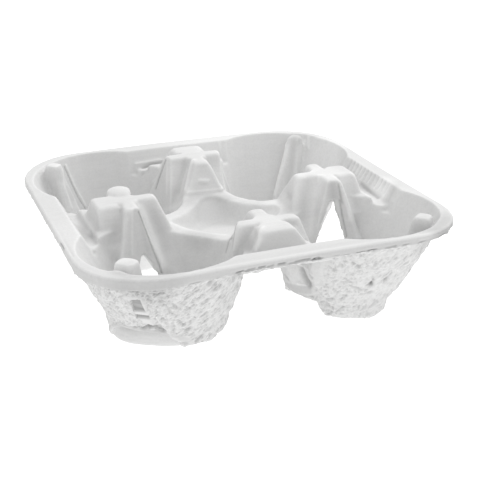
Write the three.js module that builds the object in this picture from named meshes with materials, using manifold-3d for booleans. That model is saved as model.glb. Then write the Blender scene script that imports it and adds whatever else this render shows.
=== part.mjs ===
// A four-cup carrier tray in moulded pulp: one thin sheet with a turned-down rim, four cup pockets,
// four cross-shaped towers between them, four corner posts and a round well in the middle.
// Millimetres, +Z up, origin at the middle of the footprint. X runs along the front edge, Y to the back.
import * as THREE from "three";
import { mergeVertices } from "three/addons/utils/BufferGeometryUtils.js";
import Module from "manifold-3d";

const wasm = await Module();
wasm.setup();

// Driving dimensions. Heights and depths are counted from the rim's top face.
const SIDE = 215; // the square rim, outside
const RIM_CORNER = 42; // radius of the rim's corners
const DEPTH = 54; // rim to the underside of the pockets
const WALL = 2.5; // pulp thickness
const LIP_DROP = 4.5; // the rim's turned-down lip
const LIP_WALL = 2.2;
const LIP_GAP = 0.8; // the walls under the rim start this far inside the lip
const BEVEL = 1; // softened top edges

// Inner edges of the rim's top face, from the middle.
const EDGE = { left: 95.5, right: 97.7, front: 93.5, back: 97 };
const EDGE_CORNER = 20;
// Depth, and how far the face below each inner edge has come inwards there.
const EDGE_FALL = [
  [0, 0],
  [7.5, 4.3],
  [14, 6.6],
];
const LAND_DEPTH = 14; // the low ground between pockets, towers and rim

const POCKET_TOP = { centre: 58, radius: 45.2 };
const POCKET_FLOOR = { centre: 50.4, radius: 27.2 };
// Upright cone about the floor's centre, which opens the pocket on the towers' side.
const CLEARANCE = { top: 41.9, floor: 28 };
const FLOOR_FILLET = 3;
const CUP_RADIUS = 34.5; // the tapered cup that the pocket is shaped round, at the rim
const CUP_TAPER = 0.154; // radius lost for each millimetre of depth

// The well in the middle, from its floor up. Half its width across the diagonals, and its corner radius:
// round below, and nearly square above, with the corners towards the towers.
const WELL = [
  { depth: 28, half: 18, corner: 18, sink: 1 },
  { depth: 25, half: 22, corner: 20.5, sink: 1 },
  { depth: 17, half: 26, corner: 9, sink: 0.4 },
  { depth: 2, half: 29, corner: 9, sink: 0.4 },
];
// Dip of the well's edge towards each pocket.
const SADDLE = { depth: 16.6, radius: 85, from: 12, length: 60 };
const SADDLE_SIDES = 96;

const TOWER_AT = 62.4; // tower centre to tray centre
const TOWER_RISE = 4.5; // above the rim
const TOWER_REACH = 17.8; // tower centre to the tip of a lobe
const CORE = { half: 6.5, reach: 7.5, endDraft: 8 };
const POCKET_LOBE = { half: 4, endDraft: 20, flankDraft: 16 };
const WELL_LOBE = { half: 4, endDraft: 22, flankDraft: 26 };
const WALL_LOBE = { half: 9, start: 5.5, endDraft: 6, flankDraft: 36, knee: 20 };
const BELOW_KNEE = 6; // draft of the wall lobe's flanks below the knee

// Steps between each tower and the rim, from the tower's centre outwards.
const LEDGE = { reach: 22, depth: 6.5, half: 26, endDraft: 10, flankDraft: 0 };
const TROUGH = { reach: 34, depth: 10.5, half: 30, endDraft: 0, flankDraft: 0 };
const STEP_START = 8;

const POST = { at: 119, half: 4, innerDraft: 21, outerDraft: 6, flankDraft: 7 };
// Each post's shift off the diagonal, anticlockwise, its half width and its height above the rim,
// from the right back corner anticlockwise.
const POSTS = [
  { shift: 3, side: 4, rise: 0.6 },
  { shift: 4, side: 3.4, rise: 0.4 },
  { shift: 0, side: 5, rise: 1.2 },
  { shift: 0, side: 5, rise: 1.2 },
];
// Depth below the post's top, and how much narrower the post is there.
const POST_DOME = [
  [0, 2.6],
  [0.8, 1.2],
  [2, 0],
];
const POST_BACK = { reach: 8, slope: 0.56 }; // the hollow under a post stays inside the corner's wall
// Upper and lower end of the slit in that wall. from and to run outwards from the post's centre.
const WINDOW = [
  { depth: 18, from: -8, to: 6, half: 1.9 },
  { depth: 32, from: -12, to: 2, half: 2.5 },
];
const WINDOW_SHIFT = 4.2; // from the diagonal to the slit's middle
// Foot of each post, where the wall steps in to the cup.
const ARCH = { depth: 40, half: 20.5, from: 12, to: 46 };
// Raised edge of the floor of the front right pocket.
const LIFT = { angle: -170, depth: 45, half: 18, foot: 20.5, from: 13, to: 44 };

// Grooves down the sloping faces inside the left and right edges.
const GRIP = { count: 12, from: -21, span: 50.6, width: 2, depth: 1.2, short: 1.2 };
// Wedge openings in two of the lobes, where the pulp didn't close.
// Towers are numbered from the right, anticlockwise.
const SLOTS = [
  { tower: 0, side: -1, apex: 7, foot: 43, shift: 1.8, lean: 0.07, spread: 0.31 },
  { tower: 2, side: 1, apex: 24, foot: 41, shift: 4.6, lean: 0.12, spread: 0.44 },
];
const SLOT_REACH = { from: 14, to: 40 };
const NUB = { tower: 2, along: -12.5, radius: 7, rise: 1, sides: 16 }; // low dome on one tower

const ARC_STEPS = 7; // steps in each corner of an outline
const ROUND = 36; // sides of a full circle
const TURN = Math.PI / 2;
const ABOVE = 12; // how far cutters reach above the rim
const BELOW = DEPTH + 5; // and below it

const rad = THREE.MathUtils.degToRad;
const tan = (degrees) => Math.tan(rad(degrees));
const sec = (degrees) => 1 / Math.cos(rad(degrees));

// Outline of a box with round corners at one height.
// radii start at the +X +Y corner and go anticlockwise.
function ring(x0, x1, y0, y1, radii, z, steps = ARC_STEPS) {
  const corners = [
    [x1, y1, -1, -1],
    [x0, y1, 1, -1],
    [x0, y0, 1, 1],
    [x1, y0, -1, 1],
  ];
  return corners.flatMap(([x, y, inX, inY], k) => {
    const r = radii[k];
    return Array.from({ length: steps + 1 }, (_, i) => {
      const a = TURN * (k + i / steps);
      return new THREE.Vector3(x + inX * r + r * Math.cos(a), y + inY * r + r * Math.sin(a), z);
    });
  });
}

const squareRing = (half, corner, z) => ring(-half, half, -half, half, Array(4).fill(corner), z);

// Closed skin through convex rings with the same number of points, listed from the lowest up.
function loft(rings) {
  const n = rings[0].length;
  const last = (rings.length - 1) * n;
  const faces = [];
  for (let i = 1; i < n - 1; i++) {
    faces.push(0, i + 1, i);
    faces.push(last, last + i, last + i + 1);
  }
  for (let level = 0; level < last; level += n) {
    for (let i = 0; i < n; i++) {
      const a = level + i;
      const b = level + ((i + 1) % n);
      faces.push(a, b, b + n, a, b + n, a + n);
    }
  }
  const geometry = new THREE.BufferGeometry().setFromPoints(rings.flat());
  geometry.setIndex(faces);
  return geometry;
}

function solid(geometry) {
  geometry.deleteAttribute("normal");
  geometry.deleteAttribute("uv");
  const merged = mergeVertices(geometry, 1e-4);
  return new wasm.Manifold(
    new wasm.Mesh({
      numProp: 3,
      vertProperties: merged.attributes.position.array,
      triVerts: new Uint32Array(merged.index.array),
    }),
  );
}

const turned = (geometry, quarter) => geometry.rotateZ(quarter * TURN);
const joined = (solids) => solids.reduce((all, one) => all.add(one));
const four = (make) => joined([0, 1, 2, 3].map((quarter) => solid(turned(make(quarter), quarter))));

// Round solid from a profile of [radius, height] pairs, with its axis upright at x, y.
function disc(profile, x, y, sides = ROUND) {
  const points = profile.map(([r, z]) => new THREE.Vector2(r, z));
  return new THREE.LatheGeometry(points, sides).rotateX(TURN).translate(x, y, 0);
}

// Each shape below is made twice: with inset 0 for the upper face, and with inset WALL for the underside,
// where hollows are wider and deeper and raised shapes are narrower and lower.

// The rim with its lip, and the block that the rest is cut from.

function slab(inset, bottom) {
  if (inset > 0) {
    const half = SIDE / 2 - LIP_WALL;
    return solid(loft([-bottom, -inset].map((z) => squareRing(half, RIM_CORNER - LIP_WALL, z))));
  }
  const inside = LIP_WALL + LIP_GAP;
  const edge = loft([
    squareRing(SIDE / 2, RIM_CORNER, -LIP_DROP),
    squareRing(SIDE / 2, RIM_CORNER, -BEVEL),
    squareRing(SIDE / 2 - BEVEL, RIM_CORNER - BEVEL, 0),
  ]);
  const heights = [-bottom, -LIP_DROP / 2];
  const middle = loft(heights.map((z) => squareRing(SIDE / 2 - inside, RIM_CORNER - inside, z)));
  return solid(edge).add(solid(middle));
}

// The open middle inside the rim, down to the low ground.
function court(inset) {
  const { left, right, front, back } = EDGE;
  const at = (depth, inwards) => {
    const out = inset - inwards;
    const radii = Array(4).fill(EDGE_CORNER);
    return ring(-left - out, right + out, -front - out, back + out, radii, -depth, 4);
  };
  const [rim, knee, foot] = EDGE_FALL;
  const rings = [
    at(foot[0] + inset, foot[1]),
    at(knee[0] + inset / 2, knee[1]),
    at(rim[0] + inset / 2, rim[1]),
    at(-ABOVE, -2),
  ];
  return solid(loft(rings));
}

// Cone through two circles whose centres lie on the tray's diagonal, with a rounded edge round its floor.
function cone(topCentre, topRadius, floorRadius, inset) {
  const floor = inset > 0 ? DEPTH + 1 : DEPTH - WALL;
  const at = (depth, trim) => {
    const t = depth / (DEPTH - WALL);
    const centre = THREE.MathUtils.lerp(topCentre, POCKET_FLOOR.centre, t);
    const radius = THREE.MathUtils.lerp(topRadius, floorRadius, t) + inset * 1.05 - trim;
    const [low, high] = [centre - radius, centre + radius];
    return ring(low, high, low, high, Array(4).fill(radius), -depth, ROUND / 4);
  };
  return loft([at(floor, FLOOR_FILLET), at(floor - FLOOR_FILLET, 0), at(-ABOVE, 0)]);
}

const pocket = (inset) => cone(POCKET_TOP.centre, POCKET_TOP.radius, POCKET_FLOOR.radius, inset);
const clearance = (inset) => cone(POCKET_FLOOR.centre, CLEARANCE.top, CLEARANCE.floor, inset);

// The cup itself, which trims whatever stands in its way.
function cup(inset) {
  const floor = inset > 0 ? DEPTH + 1 : DEPTH - WALL;
  const radius = (depth) => CUP_RADIUS - CUP_TAPER * depth + inset;
  const heel = floor - FLOOR_FILLET;
  const profile = [
    [0, -floor],
    [radius(floor) - FLOOR_FILLET, -floor],
    [radius(heel), -heel],
    [radius(-ABOVE), ABOVE],
    [0, ABOVE],
  ];
  return disc(profile, POCKET_FLOOR.centre, POCKET_FLOOR.centre);
}

function well(inset) {
  const levels = WELL.map(({ depth, half, corner, sink }) => {
    const wide = half + inset;
    const radii = Array(4).fill(corner + inset);
    return ring(-wide, wide, -wide, wide, radii, -depth - sink * inset);
  });
  return solid(loft(levels).rotateZ(TURN / 2));
}

function saddle(inset) {
  const { depth, radius, from, length } = SADDLE;
  return new THREE.CylinderGeometry(radius + inset, radius + inset, length, SADDLE_SIDES)
    .translate(0, length / 2, 0)
    .rotateX(rad(1))
    .translate(0, from, radius - depth)
    .rotateZ(-TURN / 2);
}

// A raised arm from a tower's centre along +X, wider and longer the lower it is.
function lobe(shape, inset, bottom, reach = TOWER_REACH, rise = TOWER_RISE) {
  const { half, endDraft, flankDraft, start = -half, knee = Infinity } = shape;
  const at = (z, shrink) => {
    const drop = rise - z;
    const end = reach + tan(endDraft) * drop - inset * sec(endDraft) - shrink;
    const spread = tan(flankDraft) * Math.min(drop, knee) + tan(BELOW_KNEE) * Math.max(drop - knee, 0);
    const side = half + spread - inset * sec(flankDraft) - shrink;
    return ring(start, end, -side, side, Array(4).fill(Math.min(side, 2) * 0.95), z, 2);
  };
  const top = rise - inset;
  const levels = [at(-bottom, 0)];
  if (knee < rise + bottom) levels.push(at(rise - knee, 0));
  if (inset > 0) levels.push(at(top, 0));
  else levels.push(at(top - BEVEL, 0), at(top, BEVEL));
  return loft(levels);
}

function step(shape, inset) {
  const bottom = LAND_DEPTH + inset + 1;
  const block = lobe({ ...shape, start: STEP_START }, inset, bottom, shape.reach, -shape.depth);
  return block.translate(TOWER_AT, 0, 0);
}

// Four towers, each a cross of lobes towards two pockets, the well and the rim, about a core.
function tower(inset, bottom) {
  const core = { ...POCKET_LOBE, half: CORE.half, start: -CORE.half, endDraft: CORE.endDraft };
  const arms = [
    lobe(POCKET_LOBE, inset, bottom).rotateZ(TURN),
    lobe(POCKET_LOBE, inset, bottom).rotateZ(-TURN),
    lobe(WELL_LOBE, inset, bottom).rotateZ(2 * TURN),
    lobe(WALL_LOBE, inset, bottom),
    lobe(core, inset, bottom, CORE.reach),
  ];
  return joined(arms.map((arm) => four(() => arm.clone().translate(TOWER_AT, 0, 0))));
}

// Round-cornered post in each corner, leaning back from the cup.
function post(inset, bottom, { shift, side, rise }) {
  const { at, half, innerDraft, outerDraft, flankDraft } = POST;
  const level = (z, shrink) => {
    const drop = rise - z;
    const inner = half + tan(innerDraft) * drop - inset * sec(innerDraft) - shrink;
    const face = half + tan(outerDraft) * drop - inset * sec(outerDraft) - shrink;
    const outer = inset > 0 ? Math.min(face, POST_BACK.reach + POST_BACK.slope * z) : face;
    const wide = side + tan(flankDraft) * drop - inset * sec(flankDraft) - shrink;
    return ring(-inner, outer, -wide, wide, Array(4).fill(Math.min(inner, wide) * 0.3), z, 3);
  };
  const dome = inset > 0 ? [[inset, 0], [14, 0]] : POST_DOME;
  const levels = dome.map(([drop, shrink]) => level(rise - drop, shrink));
  return loft([level(-bottom, 0), ...levels.reverse()]).translate(at, shift, 0).rotateZ(TURN / 2);
}

// Slit through the corner's wall into the hollow under its post, to one side of the diagonal.
function slit(side) {
  const middle = WINDOW_SHIFT * side;
  const [top, foot] = WINDOW.map(({ depth, from, to, half }) =>
    ring(from, to, middle - half, middle + half, Array(4).fill(0.5), -depth, 1),
  );
  return loft([foot, top]).translate(POST.at, 0, 0).rotateZ(TURN / 2);
}

// Arched step at the foot of each post.
function arch(inset, bottom) {
  const { depth, half, from, to } = ARCH;
  const width = (drop) => {
    const up = Math.max(1 - drop / (DEPTH - depth), 0);
    return half * (1 - up ** 2) ** 0.4 - inset;
  };
  const drops = inset > 0 ? [inset, 4, 7, 11] : [0.1, 0.8, 2, 4, 7, 11];
  const at = (drop, z) => ring(from, to, -width(drop), width(drop), Array(4).fill(0.3), z, 1);
  const rings = [at(DEPTH - depth, -bottom), ...drops.map((drop) => at(drop, -depth - drop)).reverse()];
  return loft(rings).translate(POCKET_FLOOR.centre * Math.SQRT2, 0, 0).rotateZ(TURN / 2);
}

function lift(inset, bottom) {
  const { angle, depth, half, foot, from, to } = LIFT;
  const at = (z, wide) => {
    const side = wide - inset;
    return ring(from + inset, to, -side, side, Array(4).fill(2), z, 1);
  };
  const block = loft([at(-bottom, foot), at(-depth + WALL - inset, half)]);
  const [x, y] = [POCKET_FLOOR.centre, -POCKET_FLOOR.centre];
  return solid(block.rotateZ(rad(angle)).translate(x, y, 0));
}

// Everything under one face of the sheet, as a solid.
function mould(inset, bottom) {
  return slab(inset, bottom)
    .subtract(court(inset))
    .add(four(() => step(LEDGE, inset)))
    .add(four(() => step(TROUGH, inset)))
    .subtract(four(() => pocket(inset)))
    .subtract(four(() => clearance(inset)))
    .subtract(well(inset))
    .subtract(four(() => saddle(inset)))
    .add(tower(inset, bottom))
    .add(four((quarter) => post(inset, bottom, POSTS[quarter])))
    .add(four(() => arch(inset, bottom)))
    .subtract(four(() => cup(inset)))
    .add(lift(inset, bottom));
}

function grips() {
  const [fall, run] = EDGE_FALL[1];
  const pitch = GRIP.span / (GRIP.count - 1);
  const length = Math.hypot(run, fall) - GRIP.short;
  const bar = new THREE.BoxGeometry(2 * GRIP.depth, GRIP.width, length).rotateY(Math.atan2(run, fall));
  const bars = [];
  for (let i = 0; i < GRIP.count; i++) {
    const y = GRIP.from + i * pitch;
    bars.push(solid(bar.clone().translate(EDGE.right - run / 2, y, -fall / 2)));
    bars.push(solid(bar.clone().translate(EDGE.left - run / 2, y, -fall / 2).rotateZ(2 * TURN)));
  }
  return joined(bars);
}

function slot({ tower: quarter, side, apex, foot, shift, lean, spread }) {
  const at = (depth) => {
    const middle = TOWER_AT - shift - lean * (depth - apex);
    const half = 0.4 + spread * (depth - apex);
    const radii = Array(4).fill(0.2);
    return ring(middle - half, middle + half, SLOT_REACH.from, SLOT_REACH.to, radii, -depth, 1);
  };
  const wedge = loft([at(foot), at(apex)]);
  return solid(turned(side > 0 ? wedge : mirrored(wedge), quarter));
}

// Mirror in Y, with the faces turned back to point out.
function mirrored(geometry) {
  const flipped = geometry.clone().scale(1, -1, 1);
  const index = flipped.index.array;
  for (let i = 0; i < index.length; i += 3) {
    [index[i], index[i + 1]] = [index[i + 1], index[i]];
  }
  return flipped;
}

function nub() {
  const { tower: quarter, along, radius, rise, sides } = NUB;
  const profile = [
    [0, TOWER_RISE - WALL],
    [radius * 0.5, TOWER_RISE - WALL],
    [radius, TOWER_RISE - 0.6],
    [radius, TOWER_RISE],
    [radius * 0.82, TOWER_RISE + rise * 0.65],
    [radius * 0.5, TOWER_RISE + rise],
    [0, TOWER_RISE + rise],
  ];
  return solid(turned(disc(profile, TOWER_AT, along, sides), quarter));
}

const slits = joined([1, -1, 1, -1].map((side, quarter) => solid(turned(slit(side), quarter))));

const sheet = mould(0, DEPTH)
  .subtract(mould(WALL, BELOW))
  .subtract(slits)
  .subtract(grips())
  .subtract(joined(SLOTS.map(slot)))
  .add(nub());

function meshFrom(manifold, name, material) {
  const { vertProperties, triVerts } = manifold.getMesh();
  const geometry = new THREE.BufferGeometry();
  geometry.setAttribute("position", new THREE.BufferAttribute(vertProperties, 3));
  geometry.setIndex(new THREE.BufferAttribute(triVerts, 1));
  geometry.translate(0, 0, DEPTH);
  geometry.computeVertexNormals();
  const mesh = new THREE.Mesh(geometry, material);
  mesh.name = name;
  return mesh;
}

const pulp = new THREE.MeshStandardMaterial({ color: 0xdedddb, roughness: 0.92, metalness: 0 });

const carrier = new THREE.Group();
carrier.add(meshFrom(sheet, "tray", pulp));

export default carrier;
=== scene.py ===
import math

import bmesh
import bpy
import numpy as np
from mathutils import Matrix, Vector


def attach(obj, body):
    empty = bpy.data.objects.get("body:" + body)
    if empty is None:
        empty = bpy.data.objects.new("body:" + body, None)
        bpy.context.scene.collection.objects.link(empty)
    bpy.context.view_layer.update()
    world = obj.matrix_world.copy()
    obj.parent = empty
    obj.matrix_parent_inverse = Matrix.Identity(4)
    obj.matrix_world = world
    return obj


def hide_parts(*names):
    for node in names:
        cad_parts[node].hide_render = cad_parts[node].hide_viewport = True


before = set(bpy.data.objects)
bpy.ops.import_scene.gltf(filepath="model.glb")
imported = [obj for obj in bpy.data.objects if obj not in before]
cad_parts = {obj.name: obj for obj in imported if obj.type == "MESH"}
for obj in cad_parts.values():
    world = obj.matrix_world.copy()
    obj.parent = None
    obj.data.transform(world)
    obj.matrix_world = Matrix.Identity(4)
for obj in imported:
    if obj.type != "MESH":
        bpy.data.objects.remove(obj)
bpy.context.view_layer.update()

# Lengths are in millimetres, as in the part's source. MM makes metres of them.
MM = 0.001
VOXEL = 0.7  # size of the remeshed sheet's faces
HALF_ROOT = 0.70711  # half the square root of 2, for what runs along a diagonal

DEPTH = 54.0  # rim to the floor that the tray stands on
HALF = 107.5  # half the rim's side
RIM_CORNER = 42.0  # radius
POCKET_CENTRE = 50.4  # X and Y
CORNER_FACE = 129.8  # outer face of a corner's wall, along the diagonal at the rim
CORNER_SLOPE = 0.56  # how far that face leans in for each mm down

# Rounds of averaging that soften the edges: all over, and then inside the rim, whose edge stays
# crisp. The last two are for reading which way the surface faces, and how much it bends.
ROUNDS_ALL_OVER = 2
ROUNDS_INSIDE = 4
CRISP = (98.0, 102.0)
ROUNDS_FACING = 6
ROUNDS_BEND = 8

# What closes the slit in the front left corner: a plate behind the wall's outer face, two cells
# pressed into it (corners across and Z) and painted dark as the shade inside the slit, and the
# smooth frame round it.
SLIT_PLATE = {"low": 18.5, "high": 39.5, "front": 0.5, "back": 3.2, "left": -1.0, "right": 9.4}
SLIT_CELLS = [
    [(1.5, 27.6), (8.9, 28.7), (8.4, 38.0), (2.7, 36.9)],
    [(-0.8, 22.2), (9.4, 23.2), (9.6, 26.4), (-0.3, 25.4)],
]
SLIT_FRAME = {"across": (-2.0, -0.5, 9.2, 10.6), "height": (18.0, 19.5, 38.5, 40.0)}
CELL_DEPTH = 1.6

# Corner posts: X, Y, lift, and the level above which the top is pressed flat.
POST_TOPS = [
    (-85.5, 79.5, 4.6, 56.8),
    (-84.1, -84.1, 4.0, 56.5),
    (82.0, 84.5, 1.4, 55.2),
    (84.1, -84.1, 2.0, 55.8),
]
BACK_RIGHT_POST = 2
POST_LIFTED = (46.0, 52.0)  # nothing is lifted below, and all of the lift is reached above
POST_PRESSED = 0.85
# Height, radius and rounds: where a post is lifted, where it is melted, and where the back right
# one is melted again.
POST_REACH = (52.0, 11.0)
POST_MELT = (53.0, 12.0, 9)
POST_MELT_MORE = (52.0, 9.0, 12)

# The dome on the left tower, and the cone that fills the notches between the lobes under it.
DOME = {"x": -62.4, "y": 12.5, "radius": 8.0, "rise": 2.6, "base": 58.5, "starts": 57.3}
DOME_MELT = (12.0, 10)  # radius, rounds
CONE = {"foot": 7.7, "top": 6.0, "depth": 3.2, "sunk": 0.9}

# The well's edge: distance from the middle and height, each as in band().
CREST = {"away": (14.0, 20.0, 36.0, 41.0), "height": (28.0, 33.0, 43.0, 47.0), "rounds": 12}

# How far the pockets' outer walls stand out all round: the distance from the pocket's middle, as in
# band(), the heights over which the growth ends, those of the foot, and the width over which it
# fades towards the next pocket.
WALL = {
    "growth": 1.6,
    "away": (14.0, 27.0, 50.0, 58.0),
    "ends": (46.0, 34.0),
    "foot": (16.0, 0.0),
    "apart": 12.0,
}
# Where they stand out more or less: the pocket's signs of x and y, direction and width in degrees,
# and the growth above and at the foot.
FOOT_LOBES = [
    (-1, -1, -170.0, 34.0, 1.0, 3.6),
    (-1, -1, -160.0, 20.0, 0.0, 2.6),
    (1, -1, -78.0, 22.0, 0.2, 5.0),
    (1, -1, -25.0, 34.0, -0.8, -2.2),
]

# Slow bends of the whole sheet, in mm at the rim.
WARP = {"twist": -0.37, "saddle": -1.15, "right": 1.45, "back": -0.10}

# The lip hangs lower at the front left corner, and its outer face is calmer than the walls. Pairs
# are the two ends of a smooth step: the corner along the diagonal, the outer side from the middle,
# the heights where the drop and the face begin, and the normals' Z on the face.
LIP = {
    "drop": 1.9,
    "corner": (95.0, 132.0),
    "outer": (105.6, 106.6),
    "hangs": (53.2, 50.5),
    "face": (53.6, 53.0),
    "upright": (0.75, 0.45),
    "calmer": 0.85,
}
# The ragged gap where the lip meets the walls, with painted shade in it. It is nearly closed along
# the left side.
GAP = {"level": 50.3, "lower_at_corner": 1.4, "depth": 0.6, "closed": 0.8, "left": (-98.0, -103.0)}

# The smooth foot under the front left corner's arch. "out" is from the pocket's middle.
ARCH = {"height": 14.5, "half_width": 24.0, "out": 8.0}
# A bare patch on the left of the front right pocket: corners, Y and Z, anticlockwise, and its X.
PATCH = [(-38.6, 2.6), (-46.5, 12.4), (-70.3, 18.6), (-70.2, 13.4)]
PATCH_X = (12.0, 36.0)
# The groove beside it.
GROOVE = {"from_x": 12.0, "to_x": (27.5, 24.0), "y": (-36.0, -42.0), "calmer": 0.75}
# Painted light on what shows through the left tower's opening, which also stays smooth: centre,
# radius.
GLOWS = [((-52.0, -20.5, 26.0), 10.0), ((-44.5, 22.0, 5.0), 17.0)]

# Noises: seed, and cell in mm, for those with a direction the cell's three sides.
NOISES = {
    "wave": (3, 9.0),
    "fibre": (11, (4.4, 1.4, 1.4)),
    "lumps": (21, 5.0),
    "fine": (31, 1.3),
    "calm": (41, 12.0),
    "pits": (57, (3.6, 1.1, 1.1)),
    "torn": (71, (5.0, 5.0, 1.2)),
    "brushed": (83, (14.0, 1.3, 1.3)),
    "lines": (91, (9.0, 9.0, 0.7)),
}
FIBRE_DIRECTION = (0.73, 0.14, 0.66)
FIBRE_WAVE = 1.2
# Roughness of the outside, in mm for each kind of noise. There is more of it left of the middle,
# and less of the material's coarse grain right of it. CALM is the inside's unevenness.
ROUGH = {"fibre": 0.38, "lumps": 0.34, "fine": 0.22, "pits": -0.50}
ROUGHER_AT_LEFT = 0.2
LESS_GRAIN_AT_RIGHT = 0.4
CALM = 0.05
LOWEST = -0.3  # roughness ends here, below the feet

# Tone multiplies the pulp's colour, and much of it is painted light and shade. A bend of FULL_BEND
# between a point and its surroundings gives the whole painted highlight of an edge or painted shade
# of a hollow.
FULL_BEND = 0.30
TONES = {
    "edge": 0.13,
    "hollow": -0.07,
    "walls": 0.02,
    "pits": -0.10,
    "valley_shade": -0.06,
    "glow": 0.25,
    "lip": -0.20,
    "patch": -0.15,
    "foot": -0.04,
    "arch_shade": -0.14,
    "foot_lines": -0.05,
    "cells": -0.42,
    "cell_lines": -0.08,
    "post": 0.12,
    "brushed": 0.022,
    "gap": -0.06,
    "torn_gap_shade": -0.22,
}
TONE_RANGE = (0.30, 1.30)
# A painted highlight on the top of the back left post, where it faces up.
POST_TOP_HIGHLIGHT = ((-85.5, 79.5, 55.0), 8.0)  # top of the back left one: centre, radius

# Broad painted light and shade on faces, flanks and walls: centre, radius, change.
PAINTED_LIGHT_AND_SHADE = [
    ((-79.5, -19.2, 46.5), 14.0, -0.13),  # left tower, front flank
    ((-46.0, -11.0, 44.0), 10.0, -0.06),  # left tower, towards the well
    ((-14.5, 55.5, 48.5), 12.0, 0.11),  # back tower, left flank
    ((-1.7, 38.1, 42.5), 14.0, 0.08),  # back tower, foot of the face towards the well
    ((16.6, 53.7, 42.0), 14.0, 0.12),  # back tower, right flank
    ((58.0, -4.0, 58.0), 24.0, 0.12),  # right tower, top
    ((-2.3, -65.4, 58.5), 14.0, 0.07),  # front tower, top
    ((-18.0, -73.5, 46.0), 13.0, -0.15),  # front tower, left flank
    ((-1.0, 29.0, 33.2), 21.0, -0.08),  # well, back
    ((-24.5, -21.9, 37.8), 13.0, -0.11),  # well, front left edge
    ((32.9, 3.9, 39.8), 13.0, 0.13),  # well, right edge
    ((93.1, -44.0, 38.0), 30.0, 0.11),  # right wall, front
    ((95.0, 66.0, 44.0), 26.0, 0.17),  # right wall, back
    ((38.0, 95.0, 38.0), 62.0, 0.10),  # back wall
    ((-75.8, -96.1, 44.0), 22.0, -0.07),  # wall under the rim, front left corner
    ((-80.0, -104.0, 51.0), 26.0, -0.09),  # rim, front left corner
    ((88.0, -92.0, 53.0), 24.0, -0.17),  # rim, front right corner
    ((94.4, -15.2, 48.3), 14.0, 0.15),  # ribbed face on the right
    ((19.5, -57.9, 22.0), 10.0, 0.13),  # groove beside the front right pocket
    ((-103.0, -36.0, 54.0), 40.0, 0.05),  # left flange
    ((-78.6, 74.4, 36.7), 8.0, -0.07),  # back left post
    ((-84.0, -85.0, 53.0), 11.0, 0.10),  # front left post
    ((84.0, -84.0, 56.5), 9.0, 0.14),  # front right post
    ((61.1, -17.9, 52.6), 9.0, -0.09),  # right tower, front lobe
    ((83.5, 86.0, 55.5), 8.0, -0.17),  # back right post
    ((-62.4, 12.5, 60.5), 10.0, 0.03),  # dome
    ((-78.0, -105.0, 51.5), 16.0, 0.05),  # lip, front left corner
]
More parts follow.
